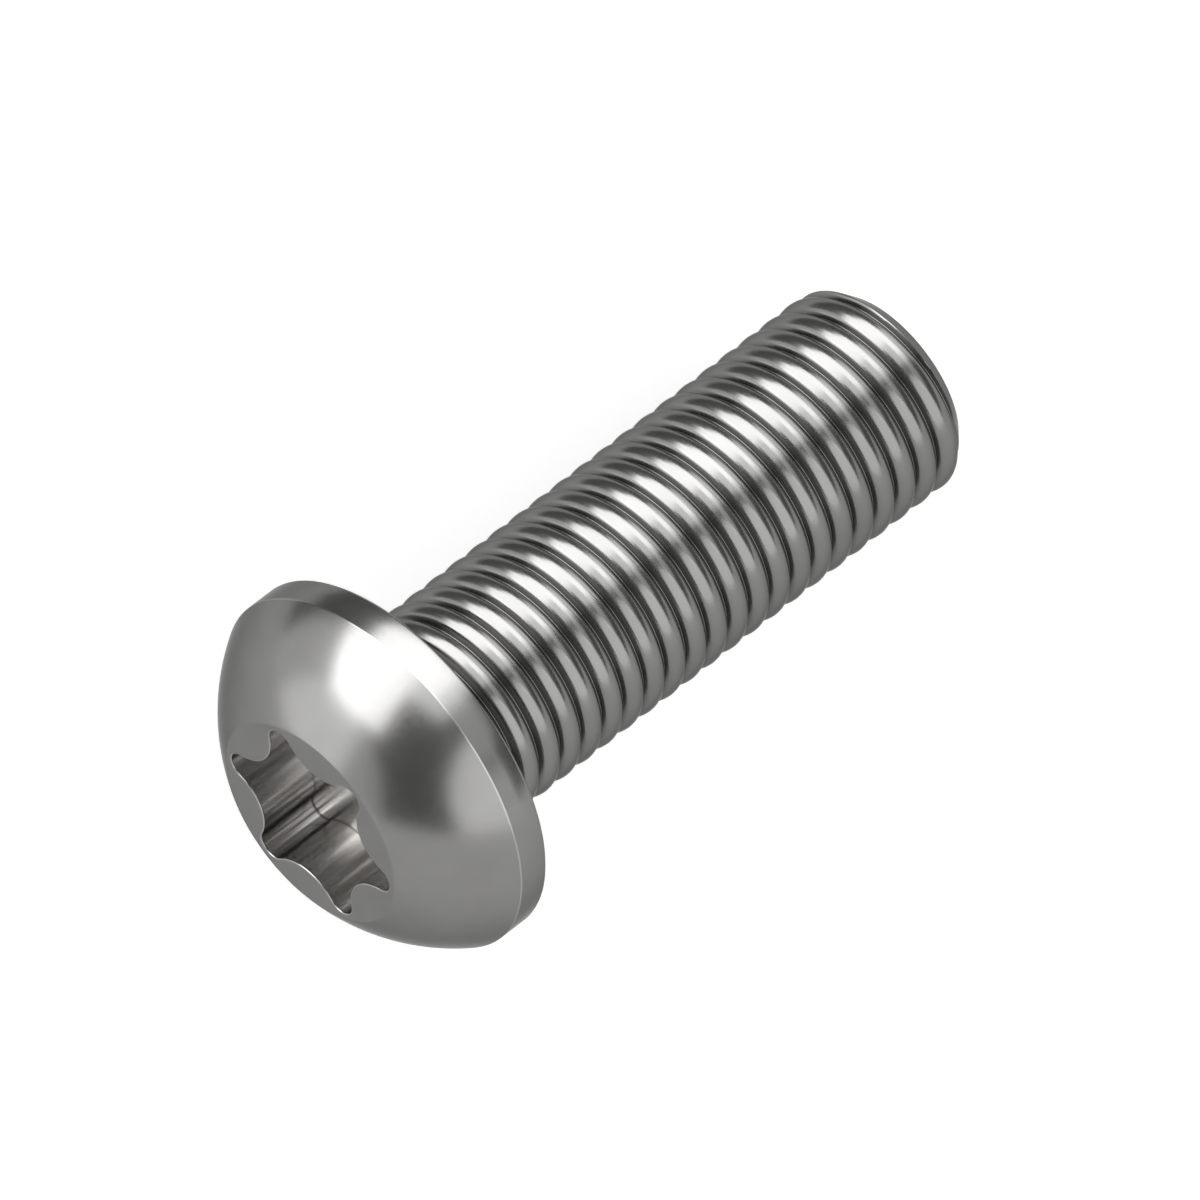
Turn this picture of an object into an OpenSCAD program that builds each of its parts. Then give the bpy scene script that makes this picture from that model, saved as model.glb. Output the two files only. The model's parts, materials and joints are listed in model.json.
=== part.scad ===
// A button-head machine screw with a six-lobe socket, lying on its side as it
// comes to rest: on the rim of its head and on the last crest of its thread.
// X runs from the head to the tip, Z is up, and the origin is on the surface
// under the middle of the screw.

/* [Head] */
// Diameter of the head
head_d = 21; // [19:0.5:24]
// Height of the head above the face that it clamps with
head_h = 6.5; // [5.5:0.1:7.5]
// Height of the straight band round the head
band_h = 1.9; // [1.2:0.1:2.5]
// Diameter of the flat crown on top of the dome
crown_d = 12; // [11.8:0.1:14]
// Radius of the edge between the band and the dome
band_edge_r = 0.15; // [0.1:0.05:0.4]
// Width of the bevel on the lower edge of the band
rim_bevel = 0.2; // [0.1:0.05:0.5]

/* [Socket] */
// Diameter of the socket over the tips of opposite lobes
socket_d = 11.25; // [10.5:0.05:11.6]
// Diameter of the socket over opposite flutes, between the lobes
flute_d = 7.85; // [7.5:0.05:8.1]
// Radius of the tip of each lobe
lobe_r = 0.8; // [0.6:0.05:1]
// Depth of the socket below the crown
socket_depth = 3.65; // [2.5:0.05:4.5]
// Turn of the lobes about the screw, from straight up
socket_turn = 26.3; // [0:0.1:60]

/* [Shank] */
// Diameter over the crests of the thread
thread_d = 12; // [11:0.5:14]
// Length of the shank below the head
shank_l = 35; // [20:1:80]
// Length of the plain neck between the head and the thread
neck_l = 1.5; // [1.2:0.1:5]
// Radius of the fillet where the neck meets the head
neck_fillet_r = 0.6; // [0.3:0.1:1]
// Width of the 45 degree bevel at the tip
tip_bevel = 1; // [0.6:0.1:1.8]

/* [Thread] */
// Distance from one crest to the next
pitch = 1.5; // [1.25:0.25:1.75]
// Angle between the two flanks of the groove
flank_angle = 60; // [55:1:60]
// Width of the flat crest
crest_w = 0.2; // [0.15:0.05:0.3]
// Width of the flat root
root_w = 0.35; // [0.2:0.05:0.45]
// Length over which the groove rises to the neck and fades out
runout_l = 0.75; // [0.75:0.25:4]

/* [Hidden] */
steel = [0.52, 0.52, 0.51];
lobes = 6;
// Facets of a full turn, of the dome's larger circle and of the thread's helix
round_fn = 96;
dome_fn = 384;
steps_per_turn = 24;
// Overlap that lets a cut run clear of a surface
clear = 0.1;
// Lap of two arcs that run into each other, so that they cross cleanly
lap = 0.002;

head_r = head_d / 2;
crown_r = crown_d / 2;
thread_r = thread_d / 2;

// The dome is part of a ball that passes through the edge of the crown and
// the top of the band
dome_z = (crown_r^2 + head_h^2 - head_r^2 - band_h^2) / (2 * (head_h - band_h));
dome_r = sqrt(crown_r^2 + (head_h - dome_z)^2);

// Centre of the rounding between the band and the dome, the direction in
// which it meets the dome, and how far out its waste reaches
edge_x = head_r - band_edge_r;
edge_z = dome_z + sqrt((dome_r - band_edge_r)^2 - edge_x^2);
edge_angle = atan2(edge_z - dome_z, edge_x);
edge_reach = 3 * band_edge_r;

// Each flute is an arc that runs into the arcs of its two lobes without a
// corner; join_angle is where on a lobe it does
lobe_x = socket_d / 2 - lobe_r;
half_step = 180 / lobes;
lapped_r = lobe_r - lap;
flute_r = (lobe_x^2 + (flute_d / 2)^2 - lobe_x * flute_d * cos(half_step) - lapped_r^2)
    / (2 * lapped_r - flute_d + 2 * lobe_x * cos(half_step));
flute_x = flute_d / 2 + flute_r;
join_angle = atan2(flute_x * sin(half_step), flute_x * cos(half_step) - lobe_x);

fillet_x = thread_r + neck_fillet_r;

// The thread: its depth follows from the widths of crest and root, and its
// groove is cut from just outside the shank
thread_depth = (pitch - crest_w - root_w) / 2 / tan(flank_angle / 2);
mouth_r = thread_r + clear;
groove_bottom = -shank_l - pitch;
groove_steps = ceil((-neck_l - groove_bottom) / pitch * steps_per_turn);
// Height of the groove's middle straight above the axis: half a turn on, below
// the axis, the last crest then runs out on the edge of the tip's bevel
groove_phase = -shank_l + tip_bevel;

// At rest the screw touches the ground with the lower edge of the band and
// with the last crest of the thread, at the edge of the tip's bevel
rest_tilt = atan2(head_r - thread_r, shank_l - tip_bevel + rim_bevel);
rest_height = head_r * cos(rest_tilt) - rim_bevel * sin(rest_tilt);
crown_end = -head_h * cos(rest_tilt) - crown_r * sin(rest_tilt);
tip_end = shank_l * cos(rest_tilt) + (thread_r - tip_bevel) * sin(rest_tilt);

// Half of the outline of head and shank, with the clamping face at z = 0
module outline() {
    difference() {
        intersection() {
            polygon([
                [0, head_h],
                [head_r, head_h],
                [head_r, rim_bevel],
                [head_r - rim_bevel, 0],
                [fillet_x, 0],
                [fillet_x, -neck_fillet_r],
                [thread_r, -neck_fillet_r],
                [thread_r, -shank_l + tip_bevel],
                [thread_r - tip_bevel, -shank_l],
                [0, -shank_l],
            ]);
            union() {
                translate([0, dome_z])
                    circle(r = dome_r, $fn = dome_fn);
                translate([0, -shank_l])
                    square([head_r, shank_l]);
            }
        }
        band_edge_waste();
        translate([fillet_x, -neck_fillet_r])
            circle(r = neck_fillet_r, $fn = round_fn);
    }
}

// What the rounding between the band and the dome takes off
module band_edge_waste() {
    translate([edge_x, edge_z])
        difference() {
            polygon([
                [0, 0],
                [edge_reach, 0],
                edge_reach * [1, tan(edge_angle / 2)],
                edge_reach * [cos(edge_angle), sin(edge_angle)],
            ]);
            circle(r = band_edge_r, $fn = round_fn);
        }
}

// The screw before its socket and thread are made
module blank() {
    rotate_extrude($fn = round_fn)
        outline();
}

// A point's place after a turn about the screw's axis
function turned(point, angle) = [
    point.x * cos(angle) - point.y * sin(angle),
    point.x * sin(angle) + point.y * cos(angle),
];

// Outline of the socket: six lobes with a hollow flute between each two
module socket_outline() {
    join = [lobe_x + lobe_r * cos(join_angle), lobe_r * sin(join_angle)];
    mirrored_join = [join.x, -join.y];
    difference() {
        polygon([
            for (i = [0 : lobes - 1], corner = [mirrored_join, join])
                turned(corner, i * 360 / lobes)
        ]);
        for (i = [0 : lobes - 1])
            rotate(i * 360 / lobes + half_step)
                translate([flute_x, 0])
                    circle(r = flute_r, $fn = round_fn);
    }
    for (i = [0 : lobes - 1])
        rotate(i * 360 / lobes)
            translate([lobe_x, 0])
                circle(r = lobe_r, $fn = round_fn);
}

module socket() {
    translate([0, 0, head_h - socket_depth])
        rotate(-socket_turn)
            linear_extrude(socket_depth + clear)
                socket_outline();
}

// Depth of the groove below the mouth at height z: it rises out of the shank
// as it comes to the neck
function groove_depth(z) =
    clear / 2 + (thread_depth + clear / 2) * min(1, (-neck_l - z) / runout_l);

// The four corners of the groove's section at step i of its helix
function groove_section(i) =
    let (
        z = groove_bottom + i * pitch / steps_per_turn,
        turn = 360 * (z - groove_phase) / pitch,
        root = mouth_r - groove_depth(z),
        half_root = root_w / 2,
        half_mouth = half_root + groove_depth(z) * tan(flank_angle / 2)
    )
    [
        for (corner = [[root, -half_root], [root, half_root],
                [mouth_r, half_mouth], [mouth_r, -half_mouth]])
            [corner.x * cos(turn), corner.x * sin(turn), z + corner.y]
    ];

// The thread's groove: its section swept along a right-hand helix, from
// beyond the tip up to the neck
module thread_groove() {
    points = [for (i = [0 : groove_steps - 1]) each groove_section(i)];
    corners = len(groove_section(0));
    last = corners * (groove_steps - 1);
    sides = [
        for (i = [0 : corners : last - corners], j = [0 : corners - 1])
            let (k = (j + 1) % corners)
            each [[i + j, i + corners + k, i + k], [i + j, i + corners + j, i + corners + k]]
    ];
    ends = [[0, 1, 2], [0, 2, 3], [last, last + 2, last + 1], [last, last + 3, last + 2]];
    polyhedron(points, concat(sides, ends), convexity = 10);
}

module screw() {
    color(steel)
        translate([-(crown_end + tip_end) / 2, 0, rest_height])
            rotate([0, rest_tilt - 90, 0])
                difference() {
                    blank();
                    socket();
                    thread_groove();
                }
}

screw();
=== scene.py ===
import json
import math

import bpy
import numpy as np
from mathutils import Matrix, Vector


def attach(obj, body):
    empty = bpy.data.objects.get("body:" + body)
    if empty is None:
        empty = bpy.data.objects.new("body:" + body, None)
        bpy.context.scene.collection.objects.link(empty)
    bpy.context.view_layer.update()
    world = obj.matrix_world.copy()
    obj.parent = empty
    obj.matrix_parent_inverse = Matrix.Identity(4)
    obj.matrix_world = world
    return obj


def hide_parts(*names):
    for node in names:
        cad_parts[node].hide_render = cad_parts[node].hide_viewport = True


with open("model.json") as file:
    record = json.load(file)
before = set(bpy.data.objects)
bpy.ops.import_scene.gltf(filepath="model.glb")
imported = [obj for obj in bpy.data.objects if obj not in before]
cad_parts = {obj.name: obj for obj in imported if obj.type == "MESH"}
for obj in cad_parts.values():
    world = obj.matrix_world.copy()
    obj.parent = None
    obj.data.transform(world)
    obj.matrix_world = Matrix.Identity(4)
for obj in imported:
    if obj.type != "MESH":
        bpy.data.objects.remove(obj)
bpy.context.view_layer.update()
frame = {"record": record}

# The screw is one piece of stainless steel, cold headed from wire. It lies on
# the rim of its head and on the last crest of its thread, and is built on its
# own axis: the clamping face at z = 0, the head above it and +x uppermost.
mm = 0.001
mounts = {mount["name"]: mount for mount in frame["record"]["mounts"]}
towards_tip = Vector(mounts["under_head"]["axis"])
axis_turn = math.atan2(-towards_tip.z, towards_tip.x) - math.pi / 2
lie = Matrix.Translation(mounts["under_head"]["pos_m"]) @ Matrix.Rotation(axis_turn, 4, "Y")

# Every ring round the axis has the same number of points, shared out so that
# each lobe of the socket gets its own and each flute the rest
lobes = 6
lobe_steps = 12
flute_steps = 20
around = lobes * (lobe_steps + flute_steps)
socket_turn = math.radians(-26.3)
turns = socket_turn + np.arange(around) * 2 * math.pi / around

# Each point has a place and a value of wear and painted light: above 0 for a painted highlight
# along an edge and for real wear on the rim, down to -1 for painted shade in corners and grooves;
# and each face has its finish
mesh = bpy.data.meshes.new("screw_body")
points = []
wear_and_painted_light_values = []
faces = []
finishes = []

# The head is upset in a round die: a flat crown, a dome that is part of a
# ball, a straight band, and a flat underside with a fillet down to the neck.
# The band's upper edge carries a painted highlight, and the bevel of its rim is worn a little
# brighter by other screws.
head_radius = 10.5 * mm
head_height = 6.5 * mm
band_height = 1.9 * mm
crown_radius = 6 * mm
crown_edge = 0.08 * mm
band_edge = 0.15 * mm
rim_bevel = 0.2 * mm
shank_radius = 6 * mm
neck_length = 1.5 * mm
neck_fillet = 0.6 * mm
fillet_top = shank_radius + neck_fillet
underside_middle = fillet_top + 1.8 * mm
dome_z = (crown_radius**2 + head_height**2 - head_radius**2 - band_height**2) / (
    2 * (head_height - band_height)
)
dome_radius = math.hypot(crown_radius, head_height - dome_z)

# Where the two rounded edges have their centres, and where they meet the dome
crown_edge_z = head_height - crown_edge
crown_edge_radius = math.sqrt((dome_radius - crown_edge) ** 2 - (crown_edge_z - dome_z) ** 2)
crown_edge_angle = math.degrees(math.atan2(crown_edge_z - dome_z, crown_edge_radius))
band_edge_radius = head_radius - band_edge
band_edge_z = dome_z + math.sqrt((dome_radius - band_edge) ** 2 - band_edge_radius**2)
band_edge_angle = math.degrees(math.atan2(band_edge_z - dome_z, band_edge_radius))

# The bevel of the rim has two soft corners, each with a start and a middle
bevel_start = 1.25 * rim_bevel
bevel_middle = 0.9 * rim_bevel
bevel_inset = 0.08 * rim_bevel

# The painted highlight along the edges and the wear of the rim, how far the highlight reaches past
# the edges, and the painted shade in the fillet
painted_highlight_edge = 0.7
worn_rim = 0.3
highlight_reach = 0.02 * mm
highlight_angle = math.degrees(highlight_reach / dome_radius)
painted_shade_fillet = -0.5


def add_ring(x, y, z, wear_and_painted_light=0):
    """One ring of points round the screw's axis, as their numbers."""
    first = len(points)
    points.extend(zip(x, y, np.broadcast_to(z, x.shape)))
    wear_and_painted_light_values.extend([wear_and_painted_light] * around)
    return list(range(first, first + around))


def round_ring(radius, z, wear_and_painted_light=0):
    """A ring whose points are all as far from the axis."""
    return add_ring(radius * np.cos(turns), radius * np.sin(turns), z, wear_and_painted_light)


def join_rings(inner, outer, finish):
    """Faces from one ring to the next one outwards or down."""
    for k in range(around):
        after = (k + 1) % around
        faces.append((inner[k], outer[k], outer[after], inner[after]))
        finishes.append(finish)


def join_profile(ring, profile, finish):
    """Rings for each (radius, z, wear and painted light) of a turned profile, joined in turn."""
    for radius, z, wear_and_painted_light in profile:
        following = round_ring(radius, z, wear_and_painted_light)
        join_rings(ring, following, finish)
        ring = following
    return ring


def arc(centre_radius, centre_z, radius, start, end, steps, wear_and_painted_light=0):
    """Points of a profile's arc, its angles in degrees from outwards up."""
    for angle in np.radians(np.linspace(start, end, steps + 1)[1:]):
        yield centre_radius + radius * math.cos(angle), centre_z + radius * math.sin(angle), wear_and_painted_light


def add_node(tree, kind, sockets, **settings):
    """A node with its settings, and a value or an output for each of its sockets."""
    node = tree.nodes.new(kind)
    for name, value in settings.items():
        setattr(node, name, value)
    for name, value in sockets.items():
        if isinstance(value, bpy.types.NodeSocket):
            tree.links.new(value, node.inputs[name])
        else:
            node.inputs[name].default_value = value
    return node


def reckon(tree, operation, *values, **settings):
    """The output of a calculation with other outputs and numbers."""
    sockets = dict(enumerate(values))
    node = add_node(tree, "ShaderNodeMath", sockets, operation=operation, **settings)
    return node.outputs["Value"]


def noise(tree, place, per_mm, detail, roughness=0.5):
    """The output of a noise that varies evenly to both sides of one half."""
    sockets = {"Vector": place, "Scale": per_mm, "Detail": detail, "Roughness": roughness}
    return add_node(tree, "ShaderNodeTexNoise", sockets).outputs["Fac"]


def stretch_noise(tree, noise_value, least, most):
    """A noise's usual range, stretched or squeezed between two values."""
    sockets = {
        "Value": noise_value,
        "From Min": 0.3,
        "From Max": 0.7,
        "To Min": least,
        "To Max": most,
    }
    return add_node(tree, "ShaderNodeMapRange", sockets).outputs["Result"]


def blend(tree, share, first, second):
    """One colour, or as much of a second one as the share says."""
    sockets = {"Factor": share, "A": first, "B": second}
    return add_node(tree, "ShaderNodeMix", sockets, data_type="RGBA").outputs["Result"]


def add_group(name, inputs, outputs):
    """A node group with its named sockets."""
    group = bpy.data.node_groups.new(name, "ShaderNodeTree")
    for side, sockets in (("INPUT", inputs), ("OUTPUT", outputs)):
        for label, kind in sockets.items():
            group.interface.new_socket(name=label, in_out=side, socket_type="NodeSocket" + kind)
    return group


# Where a point is on the screw, in millimetres with z along the axis
screw_place = add_group("screw_place", {}, {"Place": "Vector", "Radius": "Float"})
object_place = add_node(screw_place, "ShaderNodeTexCoord", {})
upright = add_node(
    screw_place,
    "ShaderNodeMapping",
    {
        "Vector": object_place.outputs["Object"],
        "Location": lie.to_translation(),
        "Rotation": (0, axis_turn, 0),
        "Scale": (mm, mm, mm),
    },
    vector_type="TEXTURE",
)
off_axis = add_node(
    screw_place,
    "ShaderNodeVectorMath",
    {0: upright.outputs["Vector"], 1: (1, 1, 0)},
    operation="MULTIPLY",
)
reach = add_node(
    screw_place, "ShaderNodeVectorMath", {0: off_axis.outputs["Vector"]}, operation="LENGTH"
)
add_node(
    screw_place,
    "NodeGroupOutput",
    {"Place": upright.outputs["Vector"], "Radius": reach.outputs["Value"]},
)

# Marks that a tool leaves: a noise with its own fineness along each axis
tool_marks = add_group(
    "tool_marks", {"Place": "Vector", "Marks per mm": "Vector"}, {"Marks": "Float"}
)
entry = add_node(tool_marks, "NodeGroupInput", {}).outputs
drawn_out = add_node(
    tool_marks,
    "ShaderNodeVectorMath",
    {0: entry["Place"], 1: entry["Marks per mm"]},
    operation="MULTIPLY",
)
marks = noise(tool_marks, drawn_out.outputs["Vector"], 1, detail=3, roughness=0.6)
add_node(tool_marks, "NodeGroupOutput", {"Marks": marks})

# The steel's surface: a fine grain, a slow drift of its tone, the marks of
# the tool, lighter and smoother metal for real wear and for painted highlights along edges, and
# painted shade in corners and grooves
grain_per_mm = 5
clouds_per_mm = 0.35
grain_dulls = 0.08
wear_smooths = 0.03
steel_surface = add_group(
    "steel_surface",
    {
        "Place": "Vector",
        "Marks": "Float",
        "Mark Contrast": "Float",
        "Colour": "Color",
        "Worn And Highlight Colour": "Color",
        "Painted Shade Colour": "Color",
        "Roughness": "Float",
    },
    {"Colour": "Color", "Roughness": "Float", "Height": "Float"},
)
entry = add_node(steel_surface, "NodeGroupInput", {}).outputs
grain = noise(steel_surface, entry["Place"], grain_per_mm, detail=3)
clouds = noise(steel_surface, entry["Place"], clouds_per_mm, detail=2)
wear_and_painted_light = add_node(steel_surface, "ShaderNodeAttribute", {}, attribute_name="wear_and_painted_light").outputs["Fac"]
patches = stretch_noise(steel_surface, grain, 0.9, 1.05)
# Above 0 the value blends in the lighter colour, a painted highlight along edges and real wear on
# the rim; below 0 it blends in painted shade
wear_and_painted_highlight = reckon(steel_surface, "MULTIPLY", wear_and_painted_light, patches, use_clamp=True)
painted_shade = reckon(steel_surface, "MULTIPLY", wear_and_painted_light, -1, use_clamp=True)
open_metal = blend(steel_surface, wear_and_painted_highlight, entry["Colour"], entry["Worn And Highlight Colour"])
metal = blend(steel_surface, painted_shade, open_metal, entry["Painted Shade Colour"])
drift = stretch_noise(steel_surface, clouds, 0.96, 1.04)
mark_tone = reckon(steel_surface, "SUBTRACT", entry["Marks"], 0.5)
shade = reckon(steel_surface, "MULTIPLY_ADD", mark_tone, entry["Mark Contrast"], drift)
shaded_metal = add_node(
    steel_surface, "ShaderNodeVectorMath", {0: metal, "Scale": shade}, operation="SCALE"
)
dull = reckon(steel_surface, "MULTIPLY_ADD", grain, grain_dulls, entry["Roughness"])
smooth = reckon(steel_surface, "MULTIPLY_ADD", wear_and_painted_highlight, -wear_smooths, dull)
relief = reckon(steel_surface, "MULTIPLY_ADD", entry["Marks"], entry["Mark Contrast"], grain)
add_node(
    steel_surface,
    "NodeGroupOutput",
    {"Colour": shaded_metal.outputs["Vector"], "Roughness": smooth, "Height": relief},
)

# Steel brightens only a little where it is seen at a slant
slant_tint = (0.45, 0.45, 0.45, 1)


def steel_finish(
    name,
    colour,
    worn_and_highlight,
    roughness,
    marks_per_mm,
    mark_contrast,
    grain_height,
    # The colour of painted shade in corners and grooves
    painted_shade_colour=(0.12, 0.12, 0.117),
    marks_follow="Place",
):
    """A finish of the steel, as the number of its material on the screw."""
    material = bpy.data.materials.new(name)
    material.use_nodes = True
    tree = material.node_tree
    place = add_node(tree, "ShaderNodeGroup", {}, node_tree=screw_place)
    marks = add_node(
        tree,
        "ShaderNodeGroup",
        {"Place": place.outputs[marks_follow], "Marks per mm": marks_per_mm},
        node_tree=tool_marks,
    )
    surface = add_node(
        tree,
        "ShaderNodeGroup",
        {
            "Place": place.outputs["Place"],
            "Marks": marks.outputs["Marks"],
            "Mark Contrast": mark_contrast,
            "Colour": (*colour, 1),
            "Worn And Highlight Colour": (*worn_and_highlight, 1),
            "Painted Shade Colour": (*painted_shade_colour, 1),
            "Roughness": roughness,
        },
        node_tree=steel_surface,
    )
    bump = add_node(
        tree,
        "ShaderNodeBump",
        {"Height": surface.outputs["Height"], "Distance": grain_height, "Strength": 1},
    )
    shader = tree.nodes["Principled BSDF"]
    shader.inputs["Metallic"].default_value = 1
    shader.inputs["Specular Tint"].default_value = slant_tint
    tree.links.new(surface.outputs["Colour"], shader.inputs["Base Color"])
    tree.links.new(surface.outputs["Roughness"], shader.inputs["Roughness"])
    tree.links.new(bump.outputs["Normal"], shader.inputs["Normal"])
    mesh.materials.append(material)
    return len(mesh.materials) - 1


forged = steel_finish(
    "forged_steel",
    colour=(0.212, 0.211, 0.207),
    worn_and_highlight=(0.35, 0.348, 0.342),
    roughness=0.19,
    marks_per_mm=(0.8, 0.8, 0.8),
    mark_contrast=0.06,
    grain_height=0.0003 * mm,
)
crown_ring = round_ring(crown_edge_radius, head_height)
head_profile = [
    *arc(crown_edge_radius, crown_edge_z, crown_edge, 90, crown_edge_angle, 5),
    *arc(0, dome_z, dome_radius, crown_edge_angle, band_edge_angle + highlight_angle, 28),
    # A painted highlight, a lighter colour along the band's upper edge
    *arc(0, dome_z, dome_radius, band_edge_angle + highlight_angle, band_edge_angle, 1, painted_highlight_edge),
    *arc(band_edge_radius, band_edge_z, band_edge, band_edge_angle, 0, 4, painted_highlight_edge),
    (head_radius, band_edge_z - highlight_reach, 0),
    (head_radius, (band_edge_z + rim_bevel) / 2, 0),
    (head_radius, bevel_start, 0),
    (head_radius - bevel_inset, bevel_middle, worn_rim),
    (head_radius - bevel_middle, bevel_inset, worn_rim),
    (head_radius - bevel_start, 0, 0),
    (underside_middle, 0, 0),
    (fillet_top, 0, 0),
    # Painted shade in the fillet under the head
    *arc(fillet_top, -neck_fillet, neck_fillet, 90, 180, 8, painted_shade_fillet),
    (shank_radius, -neck_length / 2, 0),
    (shank_radius, -neck_length, 0),
]
neck_ring = join_profile(crown_ring, head_profile, forged)

# The socket is punched into the crown: six lobes, whose arcs run into those of
# the flutes between them, down to a flat floor. Its steel is painted lighter
# than the head's, partly a polished punched finish and partly painted light;
# the corner of the floor has painted shade, and the punch leaves streaks
# along its walls.
socket_radius = 5.625 * mm
flute_bottom = 3.925 * mm
lobe_round = 0.8 * mm
socket_depth = 3.65 * mm
mouth_edge = 0.06 * mm
floor_fillet = 0.04 * mm
# Painted shade in the corner of the socket's floor
painted_shade_corner = -1
edge_angles = np.radians((0, 30, 60, 90))
lobe_centre = socket_radius - lobe_round
half_step = math.pi / lobes
flute_round = (
    lobe_centre**2 + flute_bottom**2
    - 2 * lobe_centre * flute_bottom * math.cos(half_step) - lobe_round**2
) / (2 * (lobe_round - flute_bottom + lobe_centre * math.cos(half_step)))
flute_centre = flute_bottom + flute_round
lobe_sweep = math.atan2(
    flute_centre * math.sin(half_step), flute_centre * math.cos(half_step) - lobe_centre
)
flute_sweep = lobe_sweep - half_step

# The socket's steel is painted lighter than the head's: partly a brighter punched finish, partly
# painted light in the socket
punched_painted_lighter = steel_finish(
    "punched_steel_painted_lighter",
    colour=(0.47, 0.463, 0.452),
    worn_and_highlight=(0.6, 0.59, 0.575),
    painted_shade_colour=(0.24, 0.237, 0.23),
    roughness=0.17,
    marks_per_mm=(3.5, 3.5, 0.12),
    mark_contrast=0.16,
    grain_height=0.0003 * mm,
)


def socket_outline(grow):
    """The socket's outline, grown by an even width, as a point for each turn."""
    x = []
    y = []
    for lobe in range(lobes):
        lobe_turn = socket_turn + lobe * 2 * half_step
        flute_turn = lobe_turn + half_step
        for step in range(lobe_steps):
            angle = lobe_turn - lobe_sweep + 2 * lobe_sweep * step / lobe_steps
            x.append(lobe_centre * math.cos(lobe_turn) + (lobe_round + grow) * math.cos(angle))
            y.append(lobe_centre * math.sin(lobe_turn) + (lobe_round + grow) * math.sin(angle))
        for step in range(flute_steps):
            angle = flute_turn + math.pi + flute_sweep - 2 * flute_sweep * step / flute_steps
            x.append(flute_centre * math.cos(flute_turn) + (flute_round - grow) * math.cos(angle))
            y.append(flute_centre * math.sin(flute_turn) + (flute_round - grow) * math.sin(angle))
    # The first lobe's arc starts half its sweep before the lobe's middle
    shift = lobe_steps // 2
    return np.roll(x, -shift), np.roll(y, -shift)


def socket_rings():
    """The socket's rings from the crown down to the floor's middle, with their finish."""
    x, y = socket_outline(mouth_edge)
    for share in (0.35, 0.7):
        spread_x = x * share + crown_edge_radius * np.cos(turns) * (1 - share)
        spread_y = y * share + crown_edge_radius * np.sin(turns) * (1 - share)
        yield add_ring(spread_x, spread_y, head_height), forged
    yield add_ring(*socket_outline(mouth_edge + highlight_reach), head_height), forged
    # The mouth's rounded edge carries a painted highlight, a lighter colour along it
    for angle in edge_angles:
        drop = mouth_edge * (1 - math.cos(angle))
        grow = mouth_edge * (1 - math.sin(angle))
        yield add_ring(*socket_outline(grow), head_height - drop, painted_highlight_edge), forged
    floor_z = head_height - socket_depth
    wall_foot = floor_z + floor_fillet
    wall_top = head_height - mouth_edge
    for share in (0.98, 0.8, 0.6, 0.4, 0.2, 0.02):
        yield add_ring(*socket_outline(0), wall_foot + (wall_top - wall_foot) * share), punched_painted_lighter
    # The floor's corner is darkened with painted shade
    for angle in edge_angles:
        grow = floor_fillet * (math.cos(angle) - 1)
        rise = floor_fillet * (1 - math.sin(angle))
        yield add_ring(*socket_outline(grow), floor_z + rise, painted_shade_corner), punched_painted_lighter
    x, y = socket_outline(-floor_fillet)
    for share in (0.99, 0.9, 0.7, 0.45, 0.2):
        yield add_ring(x * share, y * share, floor_z), punched_painted_lighter


def close_ring(ring, z, upwards, finish):
    """Fills a ring to a point on the axis."""
    centre = len(points)
    points.append((0, 0, z))
    wear_and_painted_light_values.append(0)
    for k in range(around):
        after = (k + 1) % around
        faces.append((centre, ring[k], ring[after]) if upwards else (centre, ring[after], ring[k]))
        finishes.append(finish)


ring = crown_ring
for following, finish in socket_rings():
    join_rings(following, ring, finish)
    ring = following
close_ring(ring, head_height - socket_depth, True, punched_painted_lighter)

# The thread is a right-hand helix of 1.5 mm pitch, rolled into the shank. That
# leaves crowned crests, flanks at 60 degrees and narrow round roots, with
# painted shade darkening the grooves towards the roots. Rows of points follow
# it, so its lines are unbroken.
shank_length = 35 * mm
tip_bevel = 1 * mm
pitch = 1.5 * mm
thread_depth = 0.5 * mm
crown_round = 0.8 * mm
crown_lean = math.radians(35)
root_round = 0.05 * mm
flank_lean = math.radians(60)
tip_edge = 0.06 * mm

# The groove fades out over the run-out, whose edge is sharp at both its ends
runout = 0.75 * mm
runout_edge = 0.1 * mm
sharp_edge = 0.0001 * mm

# The shares of the groove's depth where its painted shade starts and is full
painted_shade_start = 0.35
painted_shade_full = 0.9

# The shoulder between crown and flank takes up what the others leave
crown_width = crown_round * math.sin(crown_lean)
crown_drop = crown_round * (1 - math.cos(crown_lean))
root_width = root_round * math.sin(flank_lean)
root_rise = root_round * (1 - math.cos(flank_lean))
flank_slope = math.tan(flank_lean)
left_width = pitch / 2 - crown_width - root_width
left_drop = thread_depth - crown_drop - root_rise
shoulder_round = (left_width * flank_slope - left_drop) / (
    (math.sin(flank_lean) - math.sin(crown_lean)) * flank_slope
    - (math.cos(crown_lean) - math.cos(flank_lean))
)

rolled = steel_finish(
    "rolled_steel",
    colour=(0.195, 0.194, 0.19),
    worn_and_highlight=(0.26, 0.258, 0.253),
    roughness=0.19,
    marks_per_mm=(5, 0, 0),
    mark_contrast=0.1,
    grain_height=0.0003 * mm,
    marks_follow="Radius",
)


def soft_most(a, b, width):
    """The greater of two values, with the corner between them rounded."""
    near = np.clip(width - np.abs(a - b), 0, None) / width
    return np.maximum(a, b) + near**2 * width / 4


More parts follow.
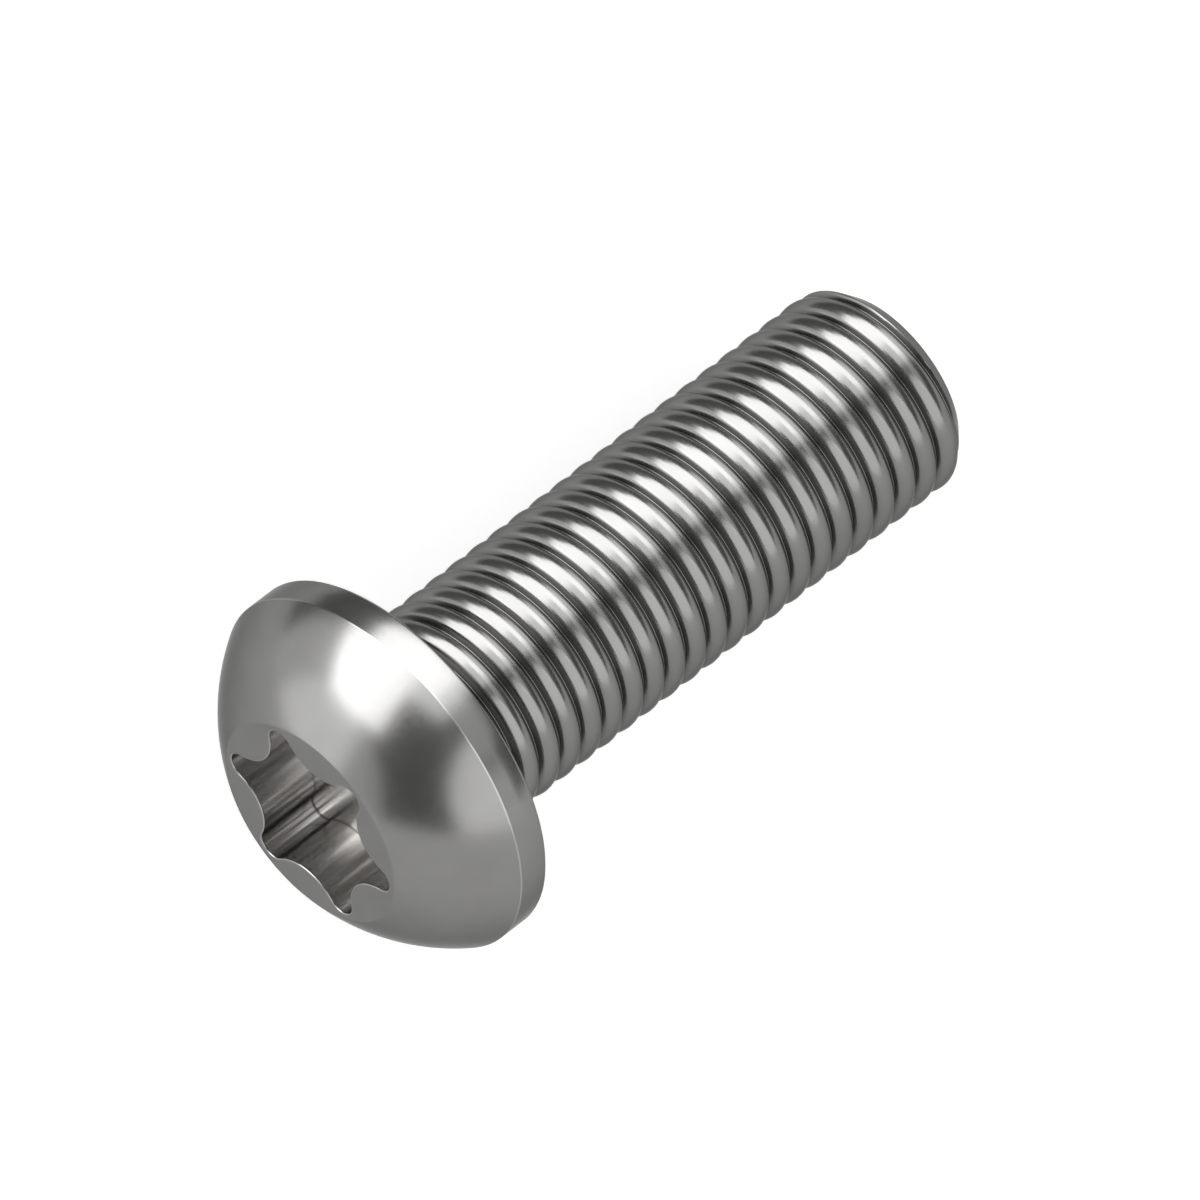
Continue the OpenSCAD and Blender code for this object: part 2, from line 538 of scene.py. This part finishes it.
def ridge_side():
    """Half a ridge, as (distance from its middle, depth) from crest to root."""
    for lean in np.linspace(0, crown_lean, 4):
        yield crown_round * math.sin(lean), crown_round * (1 - math.cos(lean))
    for lean in np.linspace(crown_lean, flank_lean, 4)[1:]:
        yield (
            crown_width + shoulder_round * (math.sin(lean) - math.sin(crown_lean)),
            crown_drop + shoulder_round * (math.cos(crown_lean) - math.cos(lean)),
        )
    for lean in np.linspace(flank_lean, 0, 3):
        yield (
            pitch / 2 - root_round * math.sin(lean),
            thread_depth - root_round * (1 - math.cos(lean)),
        )


# One turn's rows go down one side of the groove and up the other, and there are
# more turns than on the shank, which the tip and the neck cut off. Under the
# screw, the last crest ends on the edge of the tip's bevel.
near_side = list(ridge_side())
far_side = [(pitch - along, depth) for along, depth in near_side[-2:0:-1]]
one_turn = near_side + far_side
rows_per_turn = len(one_turn)
spare_turns = 2
last_turn = math.ceil((shank_length - neck_length) / pitch) + spare_turns
crest_z = -shank_length + tip_bevel - pitch / 2
rows = [
    (crest_z + turn * pitch + along, depth)
    for turn in range(-spare_turns, last_turn)
    for along, depth in one_turn
]
row_z, row_depth = np.array(rows).T
end_radius = shank_radius - tip_bevel
# The edge of the tip's end carries a painted highlight
end_ring = round_ring(end_radius, -shank_length, painted_highlight_edge)


def thread_column(k):
    """The thread's points along the shank at one turn, from end ring to neck ring."""
    turn = turns[k]
    z = row_z + pitch * turn / (2 * math.pi)
    fade = np.clip((-neck_length - z) / runout, 0, 1)
    fading_edge = sharp_edge + runout_edge * 4 * fade * (1 - fade)
    depth = soft_most(row_depth - thread_depth * (1 - fade), 0, fading_edge)
    bevel = tip_bevel - z - shank_length
    radius = shank_radius - soft_most(depth, bevel, tip_edge)
    # Painted shade darkens the groove towards its root
    painted_shade = (depth / thread_depth - painted_shade_start) / (painted_shade_full - painted_shade_start)
    painted_shade = np.clip(painted_shade, 0, 1) * (bevel < depth)
    column = []
    for point_z, point_radius, point_painted_shade in zip(z, radius, painted_shade):
        if point_z <= -shank_length:
            column.append(end_ring[k])
        elif point_z >= -neck_length:
            column.append(neck_ring[k])
        else:
            column.append(len(points))
            points.append((point_radius * math.cos(turn), point_radius * math.sin(turn), point_z))
            wear_and_painted_light_values.append(-point_painted_shade)
    return column


columns = [thread_column(k) for k in range(around)]
# The helix has climbed one turn by the time it closes
columns.append(columns[0][rows_per_turn:] + [columns[0][-1]] * rows_per_turn)
for here, after in zip(columns, columns[1:]):
    for j in range(len(rows) - 1):
        corners = list(dict.fromkeys((here[j], after[j], after[j + 1], here[j + 1])))
        if len(corners) > 2:
            faces.append(tuple(corners))
            finishes.append(rolled)

# The tip is a flat end inside the bevel, as the wire was sheared, with the
# streaks of the cut across it.
sheared = steel_finish(
    "sheared_steel",
    colour=(0.19, 0.189, 0.185),
    worn_and_highlight=(0.26, 0.258, 0.253),
    roughness=0.24,
    marks_per_mm=(0.4, 4, 1),
    mark_contrast=0.4,
    grain_height=0.0015 * mm,
)
end_profile = [(end_radius * share, -shank_length, 0) for share in (0.97, 0.8, 0.5, 0.2)]
close_ring(join_profile(end_ring, end_profile, sheared), -shank_length, False, sheared)

# The finished screw is one closed skin, with the head, socket, thread and tip
# in one mesh as they are in one piece of steel.
sharp_angle = math.radians(35)
mesh.from_pydata([lie @ Vector(point) for point in points], [], faces)
mesh.polygons.foreach_set("material_index", finishes)
mesh.attributes.new("wear_and_painted_light", "FLOAT", "POINT").data.foreach_set("value", wear_and_painted_light_values)
mesh.shade_smooth()
mesh.set_sharp_from_angle(angle=sharp_angle)
screw = bpy.data.objects.new("screw_body", mesh)
bpy.context.scene.collection.objects.link(screw)
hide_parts("screw")
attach(screw, "root")

# The table is plain white paper. It shows as white in the picture and in the
# steel, and keeps the soft shadow under the screw.
table_reach = 1.5
white_in_picture = 0.62
white_in_steel = 0.46
table_mesh = bpy.data.meshes.new("table")
table_mesh.from_pydata(
    [(x * table_reach, y * table_reach, 0) for x, y in ((-1, -1), (1, -1), (1, 1), (-1, 1))],
    [],
    [(0, 1, 2, 3)],
)
table = bpy.data.objects.new("table", table_mesh)
bpy.context.scene.collection.objects.link(table)
paper = bpy.data.materials.new("table_paper")
paper.use_nodes = True
paper_tree = paper.node_tree
paper_shader = paper_tree.nodes["Principled BSDF"]
paper_shader.inputs["Base Color"].default_value = (0.8, 0.8, 0.8, 1)
paper_shader.inputs["Roughness"].default_value = 0.9
paper_shader.inputs["Specular IOR Level"].default_value = 0.1
paper_shader.inputs["Emission Color"].default_value = (1, 1, 1, 1)
rays = add_node(paper_tree, "ShaderNodeLightPath", {}).outputs
seen = reckon(paper_tree, "MAXIMUM", rays["Is Camera Ray"], rays["Is Glossy Ray"])
steel_glow = reckon(paper_tree, "MULTIPLY", seen, white_in_steel)
more_in_picture = white_in_picture - white_in_steel
glow = reckon(paper_tree, "MULTIPLY_ADD", rays["Is Camera Ray"], more_in_picture, steel_glow)
paper_tree.links.new(glow, paper_shader.inputs["Emission Strength"])
table_mesh.materials.append(paper)

# The lamps are soft boxes: three wide ones level above the table that only
# show in the steel, a fourth that only lights the table, and five round ones
# beside it.
overhead_height = 0.4


def soft_box(name, shape, size, area, brightness):
    """A lamp behind a diffuser, as bright all over as its brightness says."""
    data = bpy.data.lights.new(name, "AREA")
    data.shape = shape
    data.size = size
    data.energy = brightness * math.pi * area
    lamp = bpy.data.objects.new(name, data)
    bpy.context.scene.collection.objects.link(lamp)
    return lamp


def overhead_box(name, left, right, near, far, brightness):
    """A rectangular soft box, level above the table."""
    width = right - left
    depth = far - near
    lamp = soft_box(name, "RECTANGLE", width, width * depth, brightness)
    lamp.data.size_y = depth
    lamp.location = ((left + right) / 2, (near + far) / 2, overhead_height)
    return lamp


def side_box(name, turn, height, distance, width, brightness):
    """A round soft box beside the table, its turn and height in degrees."""
    turn = math.radians(turn)
    height = math.radians(height)
    level = math.cos(height)
    towards = Vector((math.cos(turn) * level, math.sin(turn) * level, math.sin(height)))
    lamp = soft_box(name, "DISK", width, math.pi * width**2 / 4, brightness)
    lamp.location = towards * distance
    lamp.rotation_mode = "QUATERNION"
    lamp.rotation_quaternion = towards.to_track_quat("Z", "Y")


for shown_box in (
    overhead_box("overhead_left", left=-0.556, right=0.1, near=0.02, far=0.475, brightness=4.85),
    overhead_box("overhead_middle", left=0.1, right=0.45, near=-0.09, far=0.37, brightness=4.85),
    overhead_box(
        "overhead_right", left=-0.244, right=0.748, near=-0.156, far=0.272, brightness=2.37
    ),
):
    shown_box.visible_diffuse = False
fill_box = overhead_box("overhead_fill", left=-0.5, right=0.7, near=-0.4, far=0.6, brightness=0.6)
fill_box.visible_glossy = False
side_box("left_box", turn=138, height=14, distance=0.6, width=0.75, brightness=1.1)
side_box("low_box", turn=160, height=2, distance=0.62, width=0.8, brightness=0.9)
side_box("right_box", turn=-99, height=18, distance=0.6, width=0.9, brightness=1.9)
side_box("back_box", turn=-52, height=47, distance=0.6, width=0.4, brightness=0.8)
side_box("tip_box", turn=8, height=15, distance=0.6, width=0.3, brightness=2.2)

# The room is plain white to the camera, and dim to the table and the steel, so
# that the lamps alone make the highlights.
room_light = 0.2
room = bpy.data.worlds.new("room")
bpy.context.scene.world = room
room.use_nodes = True
walls = room.node_tree.nodes["Background"]
walls.inputs["Color"].default_value = (1, 1, 1, 1)
camera_ray = add_node(room.node_tree, "ShaderNodeLightPath", {}).outputs["Is Camera Ray"]
wall_light = reckon(room.node_tree, "MULTIPLY_ADD", camera_ray, 1 - room_light, room_light)
room.node_tree.links.new(wall_light, walls.inputs["Strength"])

# The camera looks down on the head and along the shank, with parallel rays as
# in the photograph.
view_turn = math.radians(44.74)
view_height = math.radians(60.20)
picture_width = 60.62 * mm
picture_middle = -14.3 * mm
camera_distance = 0.5
camera_data = bpy.data.cameras.new("camera")
camera_data.type = "ORTHO"
camera_data.ortho_scale = picture_width
camera = bpy.data.objects.new("camera", camera_data)
bpy.context.scene.collection.objects.link(camera)
bpy.context.scene.camera = camera
facing = Matrix.Rotation(-view_turn, 4, "Z") @ Matrix.Rotation(math.pi / 2 - view_height, 4, "X")
aim = lie @ Vector((0, 0, picture_middle))
back_off = facing @ Vector((0, 0, camera_distance))
camera.matrix_world = Matrix.Translation(aim + back_off) @ facing
bpy.context.scene.view_settings.view_transform = "Standard"
